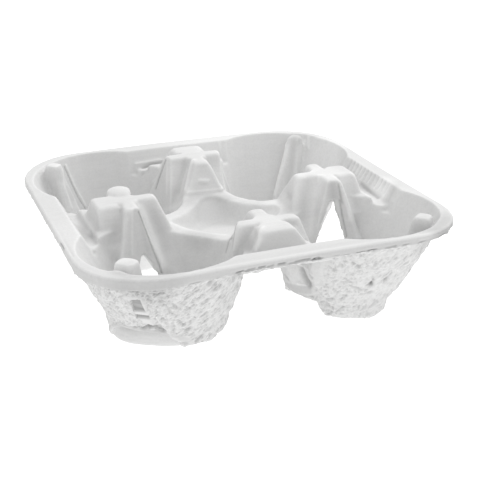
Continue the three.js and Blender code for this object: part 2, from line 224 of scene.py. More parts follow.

# Marks in the pulp where it can be seen well, with painted shade in the dents and creases and
# painted highlights on the ridges and rounded edges: half width, depth (below 0 raised), change of
# tone, points.
OUTSIDE_MARKS = [
    # front left corner: a dent painted as the shadow under the arch, crumbs round the slit, the
    # ridges beside it
    (1.3, 1.6, -0.42, [
        (-74.9, -78.0, 15.4), (-72.5, -81.4, 17.2), (-69.4, -83.2, 17.0), (-65.6, -83.4, 14.4),
    ]),
    (0.8, 0.6, -0.16, [(-79.2, -58.0, 7.0), (-78.5, -72.8, 13.4), (-76.4, -78.3, 17.0)]),
    (1.2, -1.0, 0.10, [(-79.5, -68.0, 14.0), (-77.0, -77.0, 18.5), (-75.0, -78.5, 17.6)]),
    (0.8, -1.0, 0.10, [(-73.9, -92.5, 36.3), (-63.3, -87.1, 19.7), (-53.4, -80.6, 2.0)]),
    (0.7, -0.8, 0.08, [(-74.4, -90.0, 32.5), (-65.4, -85.2, 17.5), (-58.2, -81.8, 6.8)]),
    (0.8, 0.5, -0.12, [(-72.0, -91.0, 33.0), (-64.6, -87.4, 20.5), (-57.0, -83.5, 8.0)]),
    (0.8, -0.8, 0.08, [(-84.0, -82.0, 38.0), (-80.5, -80.5, 27.0), (-78.6, -77.6, 19.0)]),
    (0.9, 0.8, -0.30, [(-74.6, -80.6, 22.6), (-71.4, -84.2, 23.4)]),
    (0.7, 0.8, -0.26, [(-92.3, -67.2, 31.0), (-90.6, -68.6, 29.1), (-89.5, -70.2, 28.5)]),
    (0.7, 0.7, -0.20, [(-88.5, -60.0, 18.0), (-86.5, -61.0, 16.5), (-85.4, -63.5, 16.3)]),
    (0.7, 0.8, -0.24, [(-64.4, -95.1, 34.8), (-62.0, -94.0, 31.7)]),
    (0.7, 0.9, -0.30, [(-55.7, -94.1, 30.7), (-53.2, -94.9, 32.3)]),
    (0.7, 0.7, -0.20, [(-52.1, -96.3, 35.5), (-49.3, -97.5, 38.3)]),
    (0.8, 0.8, -0.22, [(-64.5, -91.8, 28.9), (-61.1, -91.0, 25.6)]),
    (0.7, 0.7, -0.22, [(-59.7, -89.6, 22.5), (-57.1, -88.1, 19.1)]),
    (0.7, 0.7, -0.20, [(-47.8, -89.5, 22.1), (-45.1, -89.9, 24.1)]),
    (0.7, 0.8, -0.24, [(-54.6, -85.0, 12.6), (-52.3, -86.5, 15.2)]),
    (0.7, 0.8, -0.24, [(-47.9, -81.1, 3.6), (-44.2, -81.8, 7.4)]),
    (0.7, 0.7, -0.20, [(-35.1, -87.7, 27.7), (-32.8, -87.5, 30.7)]),
    (0.7, 0.7, -0.20, [(-42.2, -95.6, 38.0), (-39.0, -95.6, 40.8)]),
    (0.8, 0.8, -0.26, [(-55.2, -81.3, 5.0), (-52.9, -81.0, 3.3)]),
    (0.5, 0.6, -0.18, [(-92.6, -67.0, 31.4), (-90.7, -69.2, 29.6), (-89.9, -72.0, 30.5)]),
    (0.5, 0.6, -0.16, [
        (-91.6, -57.0, 19.5), (-88.3, -64.6, 21.2), (-86.8, -72.4, 24.6), (-85.0, -77.6, 27.2),
    ]),
    (0.5, 0.6, -0.16, [(-90.2, -57.0, 16.0), (-86.7, -64.1, 18.1), (-84.9, -72.5, 21.8)]),
    (0.5, -0.7, 0.08, [(-90.9, -57.0, 17.8), (-87.5, -64.3, 19.6), (-85.8, -72.5, 23.2)]),
    (0.5, 0.5, -0.14, [(-84.3, -66.8, 15.9), (-82.4, -70.5, 16.1)]),
    (0.5, 0.5, -0.14, [(-90.6, -78.6, 36.9), (-88.0, -82.4, 37.0), (-85.5, -87.1, 39.8)]),
    (0.6, 0.7, -0.18, [(-70.8, -95.0, 36.7), (-67.7, -94.4, 33.8), (-65.2, -93.0, 29.9)]),
    # front right corner: the torn groove, cracks and pits, with painted shade in them
    (1.6, 1.8, -0.34, [(20.9, -65.3, 27.6), (22.0, -66.2, 24.0), (24.2, -68.2, 19.6)]),
    (0.6, -0.9, 0.14, [(22.1, -67.9, 30.1), (22.8, -75.5, 27.2), (25.2, -76.6, 22.5)]),
    (0.6, 1.0, -0.36, [(21.3, -72.3, 30.8), (22.6, -75.6, 27.4)]),
    (0.6, -0.8, 0.10, [(20.4, -45.0, 12.2), (21.1, -61.4, 17.8), (23.5, -66.3, 18.8)]),
    (0.5, 0.7, -0.26, [(26.0, -37.6, 1.6), (22.3, -61.8, 10.6), (26.3, -69.2, 12.0)]),
    (0.6, 0.8, -0.28, [(21.0, -40.4, 15.9), (19.2, -49.0, 17.2), (19.4, -52.7, 16.3)]),
    (0.8, 2.4, -0.60, [(49.5, -91.6, 26.1), (49.9, -90.8, 24.9)]),
    (0.5, 0.7, -0.18, [(48.7, -93.7, 30.7), (50.0, -92.7, 28.2)]),
    (0.6, 0.9, -0.30, [(56.7, -91.8, 26.2), (58.0, -93.4, 29.7), (60.0, -94.2, 31.5)]),
    (0.6, 1.0, -0.38, [(66.5, -81.1, 11.6), (68.3, -81.2, 13.1), (70.6, -79.4, 12.6)]),
    (0.6, 0.7, -0.24, [(65.6, -97.4, 39.5), (66.5, -97.8, 40.7)]),
    (0.5, 0.8, -0.34, [
        (33.6, -74.0, 2.7), (35.9, -78.2, 5.5), (38.7, -80.9, 9.3), (43.8, -82.9, 9.9),
        (49.3, -83.0, 8.5),
    ]),
    (0.5, 0.7, -0.26, [(50.5, -82.8, 8.6), (53.1, -83.0, 8.5), (56.6, -83.5, 9.9)]),
    (0.6, 0.7, -0.20, [(32.0, -74.3, 9.9), (34.0, -78.9, 10.4)]),
    (0.6, 0.7, -0.20, [(30.7, -78.1, 13.7), (32.7, -80.1, 14.8)]),
    (0.6, 0.7, -0.18, [(31.7, -73.7, 7.9), (34.0, -78.0, 8.2)]),
    (0.7, 0.6, -0.14, [(45.3, -87.5, 19.0), (52.0, -88.7, 19.7)]),
    (0.7, 0.6, -0.16, [(36.0, -82.0, 14.5), (38.8, -84.8, 17.7)]),
    (0.6, 0.6, -0.18, [(35.0, -88.8, 30.2), (39.0, -89.4, 27.4)]),
    (0.7, 0.7, -0.18, [(27.0, -86.2, 37.4), (28.6, -86.9, 35.7)]),
    (0.7, 0.7, -0.16, [(35.9, -94.3, 41.0), (39.9, -94.9, 38.4)]),
    (0.7, 0.7, -0.18, [(47.0, -96.3, 36.7), (48.0, -98.5, 40.9)]),
    (0.7, 0.7, -0.20, [(46.9, -90.8, 25.0), (49.6, -92.3, 27.6)]),
    (0.7, 0.7, -0.20, [(38.6, -88.2, 25.2), (43.2, -88.8, 22.9)]),
]

# Breaks under the rim's lip, painted dark as the shade under it.
LIP_MARKS = [
    (0.45, 0.7, -0.42, [(-34.4, -107.5, 51.1), (-31.2, -107.5, 51.5)]),
    (0.4, 0.6, -0.34, [(-28.6, -107.5, 51.8), (-24.8, -107.5, 52.0)]),
    (0.45, 0.7, -0.42, [(-22.6, -107.5, 52.1), (-19.5, -107.5, 52.2)]),
    (0.4, 0.6, -0.34, [(-17.8, -107.5, 51.8), (-14.9, -107.5, 52.2)]),
    (0.45, 0.7, -0.42, [(-12.0, -107.5, 52.3), (-8.6, -107.5, 52.4)]),
    (0.4, 0.8, -0.44, [(-2.9, -107.5, 52.2), (1.1, -107.5, 52.5), (5.1, -107.5, 52.6)]),
    (0.5, 0.6, -0.30, [
        (7.5, -107.5, 52.1), (8.5, -107.5, 52.7), (10.1, -107.5, 52.6), (11.0, -107.5, 51.5),
    ]),
    (0.5, 0.6, -0.30, [(10.2, -107.5, 50.6), (8.2, -107.5, 50.9), (7.5, -107.5, 52.1)]),
    (0.4, 0.8, -0.44, [(14.5, -107.5, 50.7), (17.3, -107.5, 50.9), (19.7, -107.5, 51.0)]),
    (0.4, 0.6, -0.34, [(22.6, -107.5, 51.4), (27.1, -107.5, 51.5)]),
    (0.45, 0.7, -0.42, [(31.1, -107.5, 51.7), (35.7, -107.5, 51.8)]),
    (0.4, 0.6, -0.34, [(38.5, -107.5, 51.8), (43.2, -107.5, 52.1)]),
    (0.4, 0.6, -0.34, [(48.4, -107.5, 52.1), (54.3, -107.5, 52.4)]),
    (0.5, 0.6, -0.40, [(-107.5, -36.5, 50.2), (-107.5, -41.7, 50.6), (-107.5, -45.6, 50.2)]),
    (0.6, 0.8, -0.40, [
        (-84.4, -90.2, 42.9), (-81.9, -91.5, 42.3), (-80.1, -93.3, 43.0), (-78.4, -94.4, 43.0),
    ]),
    (0.6, 0.9, -0.45, [(-73.9, -96.9, 43.5), (-71.1, -98.5, 44.3), (-67.8, -100.4, 46.2)]),
    (0.5, 0.7, -0.30, [(-73.7, -95.8, 41.5), (-69.1, -97.9, 42.2)]),
    (0.5, 0.6, -0.26, [
        (-84.9, -89.6, 43.6), (-82.1, -92.1, 43.9), (-78.8, -94.8, 44.6), (-75.3, -97.1, 45.4),
    ]),
    (0.5, 0.7, -0.30, [(-91.3, -81.5, 41.5), (-88.7, -85.2, 41.9)]),
]

INSIDE_MARKS = [
    # left flange: a fine line near its edge
    (0.5, 0.3, -0.10, [
        (-102.9, 11.7, 54.0), (-104.3, -14.8, 53.6), (-105.1, -36.4, 53.2), (-105.4, -59.6, 52.8),
    ]),
    # left tower: painted shade in the seam beside its front lobe and in the hollow between two
    # lobes, painted highlights on the rounded edges
    (0.5, 0.7, -0.42, [
        (-58.2, -16.7, 54.6), (-56.9, -16.9, 51.0), (-54.5, -17.9, 43.0), (-52.2, -19.1, 34.2),
        (-49.9, -20.2, 26.4), (-47.6, -21.8, 17.5),
    ]),
    (1.9, -0.7, 0.22, [
        (-55.0, -7.4, 53.4), (-52.9, -9.9, 47.6), (-51.4, -12.9, 41.9), (-49.7, -16.2, 35.0),
        (-48.4, -19.1, 28.7), (-46.9, -21.6, 21.6),
    ]),
    (2.8, 0.3, -0.09, [(-48.3, -7.6, 50.5), (-45.3, -12.3, 41.0), (-43.4, -17.0, 31.6)]),
    (1.4, 0.2, -0.07, [
        (-59.0, -16.8, 56.4), (-57.9, -17.3, 51.0), (-56.9, -18.1, 44.0), (-55.7, -19.1, 36.3),
        (-53.8, -20.1, 29.0),
    ]),
    (0.8, -0.4, 0.09, [(-62.7, -17.6, 57.7), (-63.7, -20.1, 45.6), (-64.8, -23.0, 31.8)]),
    (2.2, 0.5, -0.07, [
        (-67.3, -6.7, 57.6), (-71.0, -14.7, 50.7), (-74.1, -21.3, 41.6), (-75.9, -24.2, 32.1),
    ]),
    (2.4, -0.3, 0.05, [(-78.7, -10.6, 56.2), (-80.2, -15.4, 49.2)]),
    (1.0, 0.6, -0.12, [(-88.5, -1.0, 49.0), (-86.9, -9.0, 44.0), (-84.0, -17.0, 40.5)]),
    # back tower
    (1.5, -0.8, 0.22, [(-3.9, 51.0, 57.9), (-7.9, 46.9, 50.4), (-11.9, 42.4, 42.4)]),
    (0.8, -0.5, 0.14, [
        (4.6, 50.9, 57.5), (5.9, 44.3, 54.2), (8.6, 39.1, 44.9), (10.9, 38.0, 41.7),
    ]),
    (0.9, -0.4, 0.12, [
        (16.2, 59.8, 58.5), (21.5, 64.0, 46.0), (25.2, 69.5, 35.9), (28.3, 71.3, 27.9),
    ]),
    (0.8, -0.4, 0.14, [(-11.5, 38.6, 42.1), (-0.1, 37.9, 42.0), (10.2, 37.9, 41.8)]),
    (1.6, 0.4, -0.07, [(-6.9, 57.7, 56.9), (-9.6, 55.4, 47.9), (-13.7, 50.4, 38.6)]),
    (0.9, -0.3, 0.08, [(-17.4, 61.1, 55.8), (-18.6, 59.8, 46.3), (-19.6, 57.7, 36.2)]),
    (0.45, 0.6, -0.32, [(-18.1, 63.4, 56.5), (-21.2, 66.2, 45.9), (-24.1, 67.9, 36.1)]),
    (1.0, -0.9, 0.12, [(-3.2, 40.5, 48.4), (2.0, 40.2, 47.5)]),
    (0.7, 0.4, -0.08, [(-3.9, 39.7, 46.3), (0.7, 39.4, 45.6)]),
    # edge of the well, with painted highlights along it
    (2.0, -0.3, 0.10, [
        (-21.3, 57.0, 24.4), (-17.1, 42.8, 31.7), (-13.8, 36.6, 39.4), (-11.5, 38.9, 42.2),
    ]),
    (2.2, -0.4, 0.12, [
        (-35.3, -3.6, 40.0), (-30.9, -11.1, 38.9), (-20.1, -19.2, 37.7), (-11.8, -27.3, 38.4),
    ]),
    (1.6, -0.3, 0.10, [(10.9, 38.0, 41.7), (17.8, 31.3, 38.4), (26.0, 22.0, 38.0)]),
    # right tower
    (2.2, -0.3, 0.06, [(43.4, -3.1, 55.6), (40.3, -9.2, 46.6)]),
    (2.4, 0.7, -0.08, [(51.4, -4.3, 57.6), (47.1, -10.1, 46.0), (43.2, -15.2, 35.5)]),
    (2.0, -0.6, 0.09, [
        (57.7, -6.6, 57.6), (54.2, -9.1, 48.0), (50.1, -14.3, 37.4), (46.2, -19.4, 26.9),
    ]),
    (2.2, 0.5, -0.10, [(61.2, -17.3, 56.8), (61.4, -18.2, 51.4), (61.6, -18.8, 47.8)]),
    (0.45, 0.6, -0.30, [
        (64.5, -20.2, 47.2), (65.6, -22.2, 38.2), (66.7, -24.1, 31.0), (67.4, -25.7, 25.4),
    ]),
    (1.2, -0.6, 0.16, [
        (66.1, -18.4, 55.9), (67.8, -20.7, 49.6), (69.0, -23.5, 42.7), (69.8, -25.5, 35.6),
    ]),
    (2.0, 0.3, -0.05, [(75.9, -16.8, 47.8), (75.0, -23.6, 37.5), (73.6, -28.5, 28.5)]),
    (0.9, -0.4, 0.12, [
        (77.0, -8.2, 58.4), (79.9, -11.0, 55.1), (82.0, -14.1, 47.5), (82.8, -23.0, 47.2),
    ]),
    (2.2, 0.8, -0.12, [(39.6, 0.6, 46.0), (39.6, -3.2, 46.0)]),
    (0.5, 0.6, -0.26, [(64.3, -18.6, 56.6), (65.1, -20.1, 50.0), (65.8, -21.2, 45.3)]),
    # front tower
    (0.9, -0.7, 0.16, [(-6.4, -73.3, 58.5), (-10.9, -79.7, 55.3), (-13.6, -80.9, 50.0)]),
    (0.9, -0.5, 0.14, [(14.3, -67.8, 53.6), (18.5, -69.5, 47.8), (18.1, -76.8, 47.5)]),
    (1.8, 0.5, -0.08, [(-6.7, -66.4, 57.7), (-11.5, -74.2, 55.0), (-15.1, -77.7, 50.1)]),
    (0.7, -0.3, 0.09, [(-17.9, -63.5, 57.7), (-20.2, -67.2, 51.3), (-21.7, -69.1, 46.5)]),
    (0.45, 0.6, -0.32, [(-16.6, -59.4, 57.7), (-12.8, -39.9, 40.5), (-16.1, -41.5, 33.7)]),
    (1.2, 0.6, -0.10, [(9.7, -66.6, 57.6), (12.3, -67.0, 56.5), (14.6, -67.1, 56.0)]),
    # right side: painted light on the ribbed face, painted shade in the groove under it, its end,
    # and the front right post
    (3.6, 0.0, 0.10, [
        (95.7, 22.8, 51.0), (95.3, 8.0, 50.3), (95.0, -6.2, 49.6), (94.6, -18.5, 49.1),
    ]),
    (1.1, 0.7, -0.18, [
        (92.9, 7.0, 45.5), (92.6, -0.6, 44.7), (92.4, -8.9, 44.2), (92.1, -17.6, 43.9),
    ]),
    (1.6, -0.4, 0.10, [(96.6, -22.0, 52.5), (94.4, -22.8, 48.6), (92.9, -22.3, 45.4)]),
    (2.0, 0.3, -0.08, [(97.0, -27.7, 53.1), (94.7, -28.5, 49.2), (92.9, -28.4, 45.5)]),
    # painted light and shade on the upper edge of the well, the front tower's left flank and seam,
    # and the front flange
    (2.4, 0.0, -0.10, [(-6.0, 33.5, 40.0), (3.3, 33.8, 40.0), (10.9, 29.0, 38.7)]),
    (2.6, 0.0, -0.08, [(-10.0, -66.8, 56.0), (-13.4, -71.1, 52.4), (-16.6, -74.9, 48.0)]),
    (2.0, 0.0, 0.05, [(-17.3, -66.3, 57.4), (-18.4, -68.0, 52.5), (-19.6, -69.5, 47.5)]),
    (0.7, 0.6, -0.32, [
        (-17.0, -60.6, 57.6), (-17.6, -60.4, 54.0), (-18.3, -60.4, 49.5), (-18.9, -60.4, 44.0),
    ]),
    (0.7, -0.2, 0.06, [(-60.0, -105.2, 53.6), (0.0, -105.2, 54.0), (88.0, -105.2, 54.4)]),
    (2.6, 0.0, -0.04, [(-60.0, -101.0, 53.6), (0.0, -101.0, 54.0), (84.0, -101.0, 54.4)]),
    # back wall: the shelf's edge and the shade under it, two short ridges
    (0.8, -0.9, 0.08, [(-29.8, 92.6, 46.3), (-21.5, 92.8, 46.7), (-12.4, 93.0, 47.0)]),
    (0.9, 0.8, -0.22, [(-26.0, 90.0, 44.2), (-20.4, 92.1, 45.0), (-12.7, 92.2, 45.4)]),
    (1.2, 0.5, -0.12, [(-28.5, 84.6, 41.6), (-24.2, 83.7, 45.0)]),
    (0.8, -0.6, 0.10, [(93.2, 87.6, 52.6), (91.7, 83.4, 46.4)]),
    (0.7, -0.4, 0.06, [(30.2, 96.6, 53.0), (29.4, 94.6, 48.0)]),
    # posts of the two back corners
    (0.3, 0.4, -0.32, [
        (-76.9, 96.0, 49.2), (-73.1, 90.3, 36.9), (-70.9, 87.3, 30.0), (-67.0, 84.6, 22.0),
    ]),
    (0.5, -0.6, 0.24, [(-75.7, 96.7, 49.5), (-71.6, 90.3, 36.0), (-66.5, 85.6, 23.8)]),
    (1.1, -0.6, 0.14, [
        (-83.0, 79.6, 51.8), (-82.2, 74.7, 43.0), (-80.2, 71.6, 34.0), (-79.3, 70.2, 30.0),
    ]),
    (1.5, -0.8, 0.20, [
        (80.0, 88.4, 52.0), (75.6, 83.8, 48.6), (72.3, 81.7, 38.8), (67.3, 80.1, 26.1),
        (64.6, 78.6, 18.1),
    ]),
    (2.4, 0.5, -0.12, [(81.4, 83.3, 53.0), (76.9, 77.8, 38.1), (73.5, 75.2, 27.0)]),
    (1.6, -0.3, 0.09, [(89.8, 87.8, 50.0), (85.3, 80.3, 36.5), (82.0, 76.0, 26.0)]),
]

# The pulp's material.
PULP_COLOUR = (0.710, 0.710, 0.707)
PULP_ROUGHNESS = 0.95
PULP_SPECULAR = 0.25
FLECK_SCALE = 900.0
CRUMB_SCALE = 420.0
FIBRE_SIZE = (0.0042, 0.0012, 0.0012)  # metres, along and across
FIBRE_DARK = 0.20
CRUMB_DARK = 0.11
FLECK_LEVEL = 0.955
BUMP_STRENGTH = 0.6
BUMP_DISTANCE = 0.0011

# Floor, light and camera, in metres and degrees.
FLOOR_HALF = 6.0
FLOOR_GREY = 0.25
FLOOR_GLOW = 1.06
FLOOR_LEVEL = -0.0006  # just below LOWEST
WORLD_STRENGTH = 0.84
LIGHT = {"place": (0.9, 0.8, 1.3), "target": (0.0, 0.0, 0.03), "size": 1.0, "power": 15.0}
CAMERA = {"place": (-0.20184, -0.54658, 0.25945), "turn": -21.053, "down": 22.096, "roll": 0.193}
SENSOR = 36.0
LENS = 78.14


def smooth(a, b, x):
    """0 at a, 1 at b, the same beyond them, and an even curve between."""
    t = np.clip((x - a) / (b - a), 0.0, 1.0)
    return t * t * (3.0 - 2.0 * t)


def band(limits, x):
    """0 up to the first limit, 1 from the second to the third, 0 from the fourth on."""
    a, b, c, d = limits
    return smooth(a, b, x) * smooth(d, c, x)


def scatter(ix, iy, iz, seed):
    """A number from -1 to 1 for each cell of a grid, the same on every run."""
    mask = np.uint64(0xFFFFFFFF)
    h = (
        ix.astype(np.uint64) * np.uint64(73856093)
        ^ iy.astype(np.uint64) * np.uint64(19349663)
        ^ iz.astype(np.uint64) * np.uint64(83492791)
        ^ np.uint64(seed * 2654435761 % 4294967296)
    ) & mask
    for shift, factor in ((15, 2246822519), (13, 3266489917)):
        h = ((h ^ (h >> np.uint64(shift))) * np.uint64(factor)) & mask
    h ^= h >> np.uint64(16)
    return h.astype(float) / 2147483648.0 - 1.0


def noise(points, seed):
    """Smooth noise from about -1 to 1, with a cell of 1."""
    cell = np.floor(points).astype(np.int64)
    f = points - cell
    u = f * f * f * (f * (f * 6.0 - 15.0) + 10.0)
    total = np.zeros(len(points))
    for dx in (0, 1):
        for dy in (0, 1):
            for dz in (0, 1):
                weight = (
                    (u[:, 0] if dx else 1 - u[:, 0])
                    * (u[:, 1] if dy else 1 - u[:, 1])
                    * (u[:, 2] if dz else 1 - u[:, 2])
                )
                corner = scatter(cell[:, 0] + dx, cell[:, 1] + dy, cell[:, 2] + dz, seed)
                total += weight * corner
    return total


def noise_of(kind, points):
    """One of the NOISES, at points in mm."""
    seed, cell = NOISES[kind]
    return noise(points / cell, seed)


def lumpy_noise_of(kind, points):
    """The noise, and half as much with a cell of half the size."""
    seed, cell = NOISES[kind]
    scaled = points / cell
    return noise(scaled, seed) + noise(scaled / 0.5, seed + 1) * 0.5


def add_plate(work, low, high, front, back, left, right):
    """A flat plate across the front left slit. Front and back are behind the wall's outer face."""
    corners = []
    for z in (low, high):
        face_at = CORNER_FACE - CORNER_SLOPE * (DEPTH - z)
        for behind, across in ((front, left), (front, right), (back, right), (back, left)):
            out = (face_at - behind) * HALF_ROOT
            side = across * HALF_ROOT
            corners.append(work.verts.new(((-out + side) * MM, (-out - side) * MM, z * MM)))
    sides = ((3, 2, 1, 0), (4, 5, 6, 7), (0, 1, 5, 4), (1, 2, 6, 5), (2, 3, 7, 6), (3, 0, 4, 7))
    for ring in sides:
        work.faces.new([corners[k] for k in ring])


def add_dome_base(work):
    """The short cone under the dome."""
    level = DOME["base"] - CONE["sunk"]
    bmesh.ops.create_cone(
        work,
        cap_ends=True,
        segments=40,
        radius1=CONE["foot"] * MM,
        radius2=CONE["top"] * MM,
        depth=CONE["depth"] * MM,
        matrix=Matrix.Translation((DOME["x"] * MM, DOME["y"] * MM, level * MM)),
    )


def closed_copy(node):
    """The CAD node's mesh with the plate and the cone, remeshed into even small faces."""
    work = bmesh.new()
    work.from_mesh(node.data)
    bmesh.ops.remove_doubles(work, verts=work.verts, dist=1e-6)
    add_plate(work, **SLIT_PLATE)
    add_dome_base(work)
    source = bpy.data.meshes.new("tray_source")
    work.to_mesh(source)
    work.free()
    holder = bpy.data.objects.new("tray_source", source)
    bpy.context.scene.collection.objects.link(holder)
    remesh = holder.modifiers.new("remesh", "REMESH")
    remesh.mode = "VOXEL"
    remesh.voxel_size = VOXEL * MM
    graph = bpy.context.evaluated_depsgraph_get()
    made = bpy.data.meshes.new_from_object(holder.evaluated_get(graph))
    bpy.data.objects.remove(holder)
    bpy.data.meshes.remove(source)
    return made


def read(mesh):
    """The vertices in mm, and the two vertices of each edge."""
    points = np.empty(len(mesh.vertices) * 3, np.float32)
    mesh.vertices.foreach_get("co", points)
    edges = np.empty(len(mesh.edges) * 2, np.int32)
    mesh.edges.foreach_get("vertices", edges)
    return points.reshape(-1, 3).astype(float) / MM, edges.reshape(-1, 2)


def write(mesh, points):
    mesh.vertices.foreach_set("co", (points * MM).astype(np.float32).ravel())
    mesh.update()


def normals_of(mesh):
    out = np.empty(len(mesh.vertices) * 3, np.float32)
    mesh.vertices.foreach_get("normal", out)
    return out.reshape(-1, 3).astype(float)


class Net:
    """Averages over the neighbours of each vertex."""

    def __init__(self, edges, count):
        self.a, self.b, self.count = edges[:, 0], edges[:, 1], count
        self.degree = np.bincount(edges.ravel(), minlength=count).astype(float)

    def mean(self, values):
        total = np.bincount(self.a, values[self.b], self.count)
        total += np.bincount(self.b, values[self.a], self.count)
        return total / np.maximum(self.degree, 1.0)

    def soften(self, values, rounds):
        """Each round goes half the way to the neighbours' mean."""
        for _ in range(rounds):
            step = np.stack([self.mean(values[:, k]) for k in range(values.shape[1])], 1) - values
            values = values + step * 0.5
        return values

    def upward(self, normals):
        """Z of the normals, averaged over their surroundings."""
        return self.soften(normals[:, 2:3], ROUNDS_FACING)[:, 0]


def melt(points, edges, mask, rounds):
    """Softens the surface strongly where mask is above 0."""
    pick = mask > 0.0
    order = np.cumsum(pick) - 1
    part = Net(order[edges[pick[edges].all(1)]], int(pick.sum()))
    soft = part.soften(points[pick], rounds)
    points[pick] += (soft - points[pick]) * mask[pick, None]


def spot(points, centre, radius):
    """1 near a point and 0 from the radius on."""
    return smooth(radius, 0.35 * radius, np.linalg.norm(points - np.array(centre), axis=1))


def inside(u, v, corners, edge):
    """1 in a convex outline listed anticlockwise, 0 outside, with a soft edge."""
    gap = np.full(len(u), 99.0)
    for (u0, v0), (u1, v1) in zip(corners, corners[1:] + corners[:1]):
        run = math.hypot(u1 - u0, v1 - v0)
        gap = np.minimum(gap, ((u1 - u0) * (v - v0) - (v1 - v0) * (u - u0)) / run)
    return smooth(0.0, edge, gap)


def near(points, normals, path, width):
    """1 on a line of points, less and less along the surface, and next to 0 at twice the width."""
    best = np.full(len(points), 9.0)
    reach = 4.0 * width
    path = np.array(path, float)
    low, high = path.min(0) - reach, path.max(0) + reach
    pick = np.flatnonzero(((points > low) & (points < high)).all(1))
    p, n = points[pick], normals[pick]
    for a, b in zip(path[:-1], path[1:]):
        run = b - a
        t = np.clip((p - a) @ run / (run @ run), 0.0, 1.0)
        gap = p - (a + t[:, None] * run)
        off = (gap * n).sum(1)
        along_surface = np.sqrt(np.maximum((gap**2).sum(1) - off**2, 0.0))
        past_surface = 1.2 * np.maximum(abs(off) - 1.5, 0.0)
        best[pick] = np.minimum(best[pick], (along_surface + past_surface) / width)
    return np.exp(-((best * 0.9) ** 2)) * (best < 3.0)


def rim_distance(points):
    """Distance from the middle, counted so that it is the same all along the rim's outline."""
    straight = HALF - RIM_CORNER
    over = np.maximum(abs(points[:, :2]) - straight, 0.0)
    return straight + np.hypot(over[:, 0], over[:, 1])


def melt_spot(points, edges, place, radius, rounds, mask=1.0):
    """Melts the surface round a place."""
    melt(points, edges, spot(points, place, radius) * mask, rounds)


def lift_posts(points, edges, skin):
    """Lifts the corner posts, presses their tops flat and melts them, the back right one most."""
    height = points[:, 2].copy()
    at, reach = POST_REACH
    for x, y, lift, level in POST_TOPS:
        at_post = spot(points, (x, y, at), reach) * skin
        points[:, 2] += lift * at_post * smooth(*POST_LIFTED, height)
        over = np.maximum(points[:, 2] - level, 0.0) * (at_post > 0.0)
        points[:, 2] -= POST_PRESSED * over
        melt_at, radius, rounds = POST_MELT
        melt_spot(points, edges, (x, y, melt_at), radius, rounds, skin)
    x, y = POST_TOPS[BACK_RIGHT_POST][:2]
    melt_at, radius, rounds = POST_MELT_MORE
    melt_spot(points, edges, (x, y, melt_at), radius, rounds, skin)


def raise_dome(points, edges):
    """Gives the dome a round cap and melts its edge."""
    away = np.hypot(points[:, 0] - DOME["x"], points[:, 1] - DOME["y"]) / DOME["radius"]
    cap = DOME["rise"] * np.maximum(1 - away**2, 0.0) ** 0.8
    top = (points[:, 2] > DOME["starts"]) & (away < 1.0)
    capped = np.minimum(points[:, 2], DOME["base"]) + cap
    points[:, 2] = np.where(top, capped, points[:, 2])
    melt_spot(points, edges, (DOME["x"], DOME["y"], DOME["base"]), *DOME_MELT)


def melt_crest(points, edges):
    """Softens the edge of the well."""
    away = np.hypot(points[:, 0], points[:, 1])
    mask = band(CREST["away"], away) * band(CREST["height"], points[:, 2])
    melt(points, edges, mask, CREST["rounds"])


def grow_walls(points, z, under):
    """Moves the pockets' outer walls away from the pockets' centres, on the underside alone."""
    at_foot = smooth(*WALL["foot"], z)
    for side_x, side_y in ((1, 1), (-1, 1), (-1, -1), (1, -1)):
        away = points[:, :2] - (side_x * POCKET_CENTRE, side_y * POCKET_CENTRE)
        far = np.hypot(away[:, 0], away[:, 1])
        turn = np.degrees(np.arctan2(away[:, 1], away[:, 0]))
        grow = np.full(len(points), WALL["growth"])
        for lobe_x, lobe_y, at, width, above, foot in FOOT_LOBES:
            if (lobe_x, lobe_y) == (side_x, side_y):
                off = (turn - at + 180.0) % 360.0 - 180.0
                grow += np.exp(-((off / width) ** 2)) * (above + (foot - above) * at_foot)
        share = under * band(WALL["away"], far) * smooth(*WALL["ends"], z)
        share *= smooth(0.0, WALL["apart"], side_x * points[:, 0])
        share *= smooth(0.0, WALL["apart"], side_y * points[:, 1])
        points[:, :2] += away / np.maximum(far, 1.0)[:, None] * (grow * share)[:, None]


def warp_sheet(points, z):
    """Bends the sheet slowly, not at all at its feet."""
    x, y = points[:, 0] / HALF, points[:, 1] / HALF
    rise = (
        WARP["twist"] * x * y
        + WARP["saddle"] * (x**2 - y**2)
        + WARP["right"] * x
        + WARP["back"] * y
    )
    points[:, 2] += smooth(2.0, DEPTH, z) * rise


def fibre_axes():
    """The fibres' direction and two directions across it."""
    streak = np.array(FIBRE_DIRECTION)
    streak /= np.linalg.norm(streak)
    side = np.cross(streak, [0.0, 0.0, 1.0])
    side /= np.linalg.norm(side)
    return streak, side, np.cross(streak, side)


def smooth_foot(base, z):
    """1 under the front left corner's arch."""
    out_x, out_y = abs(base[:, 0]), abs(base[:, 1])
    outward = (out_x + out_y) * HALF_ROOT - POCKET_CENTRE / HALF_ROOT
    sideways = abs(out_x - out_y) * HALF_ROOT
    up = np.clip(z / ARCH["height"], 0.0, 1.0)
    arch = ARCH["half_width"] * np.clip(1 - up**2, 0.0, 1.0) ** 0.4
    front_left = (base[:, 0] < 0) & (base[:, 1] < 0)
    low = (outward > ARCH["out"]) & (z < ARCH["height"] + 0.1) & front_left
    return low * smooth(1.0, -1.0, sideways - arch)


def slit_masks(base, z):
    """The cells in the slit's plate, and the plate with its frame."""
    face_at = CORNER_FACE - CORNER_SLOPE * (DEPTH - z)
    behind = face_at + (base[:, 0] + base[:, 1]) * HALF_ROOT
    across = (base[:, 0] - base[:, 1]) * HALF_ROOT
    at_slit = (abs(behind - SLIT_PLATE["front"]) < 2.2) & (base[:, 0] < 0)
    cells = sum(inside(across, z, outline, 0.6) for outline in SLIT_CELLS)
    around = band(SLIT_FRAME["across"], across) * band(SLIT_FRAME["height"], z)
    return cells * at_slit, around * at_slit


